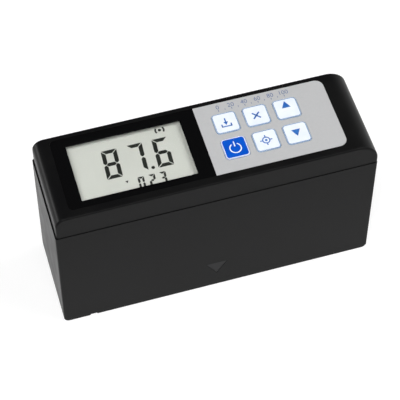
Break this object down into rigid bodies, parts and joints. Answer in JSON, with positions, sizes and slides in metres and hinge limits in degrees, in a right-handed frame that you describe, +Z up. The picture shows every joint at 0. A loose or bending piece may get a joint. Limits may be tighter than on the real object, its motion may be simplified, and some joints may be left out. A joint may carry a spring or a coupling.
{
  "type": "whiteness meter",
  "caption": "Handheld whiteness meter: black box case with a display, a six key panel, a measuring port underneath and a battery door.",
  "frame": {"origin": "centre of the footprint on the table", "axes": "+X along the length towards the keypad end, +Y from the long front face to the back, +Z up"},
  "size_m": [0.1416, 0.0428, 0.0782],
  "materials": {
    "case_black": "moulded black ABS, fine texture with a slight sheen",
    "overlay": "printed polycarbonate film, black round the display and silver round the keys",
    "clear_window": "clear acrylic plate",
    "lcd": "grey green reflective liquid crystal display with dark segments",
    "inner_black": "matte black moulded plastic",
    "elastomer": "striped conductive rubber",
    "circuit_board": "green glass epoxy board",
    "chip": "black epoxy package",
    "steel": "zinc plated steel",
    "aluminium_black": "black anodised aluminium",
    "key_white": "white key with a blue edge line",
    "key_blue": "blue key with a white edge and a white power symbol",
    "plunger": "pale nylon",
    "lens_glass": "clear optical glass",
    "filter_glass": "blue filter glass",
    "sensor_can": "nickel plated can",
    "lamp_lens": "clear blue epoxy",
    "white_plastic": "white nylon connector",
    "ribbon": "grey ribbon cable",
    "flex": "amber polyimide strip",
    "nickel": "nickel plated spring steel",
    "wire": "insulated hook-up wire",
    "cell_jacket": "plain jacket of a small dry cell"
  },
  "bodies": {
    "meter": {"lower_case": "case_black", "top_cover": "case_black", "front_overlay": "overlay", "display_window": "clear_window", "lcd_glass": "lcd", "lcd_frame": "inner_black", "zebra_strips": "elastomer", "main_board": "circuit_board", "board_screws": "steel", "case_screws": "steel", "microcontroller": "chip", "board_chips": "chip", "buzzer": "inner_black", "push_switches": "inner_black", "aperture_plate": "aluminium_black", "plate_screws": "steel", "optical_head": "aluminium_black", "lens": "lens_glass", "retaining_rings": "aluminium_black", "blue_filter": "filter_glass", "photodiode": "sensor_can", "sensor_board": "circuit_board", "sensor_screws": "steel", "lamps": "lamp_lens", "lamp_boards": "circuit_board", "lamp_flexes": "flex", "ribbon_connectors": "white_plastic", "ribbon_cable": "ribbon", "battery_box": "inner_black", "box_screws": "steel", "battery_contacts": "nickel", "battery_leads": "wire", "data_jack": "inner_black", "jack_nut": "sensor_can", "jack_leads": "wire", "battery_cell_1": "cell_jacket", "battery_cell_2": "cell_jacket", "battery_cell_3": "cell_jacket", "battery_cell_4": "cell_jacket"},
    "store_button": {"store_key": "key_white", "store_plunger": "plunger"},
    "clear_button": {"clear_key": "key_white", "clear_plunger": "plunger"},
    "up_button": {"up_key": "key_white", "up_plunger": "plunger"},
    "power_button": {"power_key": "key_blue", "power_plunger": "plunger"},
    "calibrate_button": {"calibrate_key": "key_white", "calibrate_plunger": "plunger"},
    "down_button": {"down_key": "key_white", "down_plunger": "plunger"},
    "door": {"battery_door": "case_black", "door_contacts": "nickel", "contact_springs": "nickel"}
  },
  "joints": [
    {"name": "store_press", "type": "slide", "parent": "meter", "child": "store_button", "axis": [0, 0, -1], "range_m": [0, 0.0005], "stiffness_N_per_m": 1500},
    {"name": "clear_press", "type": "slide", "parent": "meter", "child": "clear_button", "axis": [0, 0, -1], "range_m": [0, 0.0005], "stiffness_N_per_m": 1500},
    {"name": "up_press", "type": "slide", "parent": "meter", "child": "up_button", "axis": [0, 0, -1], "range_m": [0, 0.0005], "stiffness_N_per_m": 1500},
    {"name": "power_press", "type": "slide", "parent": "meter", "child": "power_button", "axis": [0, 0, -1], "range_m": [0, 0.0005], "stiffness_N_per_m": 1500},
    {"name": "calibrate_press", "type": "slide", "parent": "meter", "child": "calibrate_button", "axis": [0, 0, -1], "range_m": [0, 0.0005], "stiffness_N_per_m": 1500},
    {"name": "down_press", "type": "slide", "parent": "meter", "child": "down_button", "axis": [0, 0, -1], "range_m": [0, 0.0005], "stiffness_N_per_m": 1500},
    {"name": "battery_door_hinge", "type": "hinge", "parent": "meter", "child": "door", "pos_m": [-0.0558, 0.014, 0.0013], "axis": [1, 0, 0], "range_deg": [0, 75]}
  ]
}
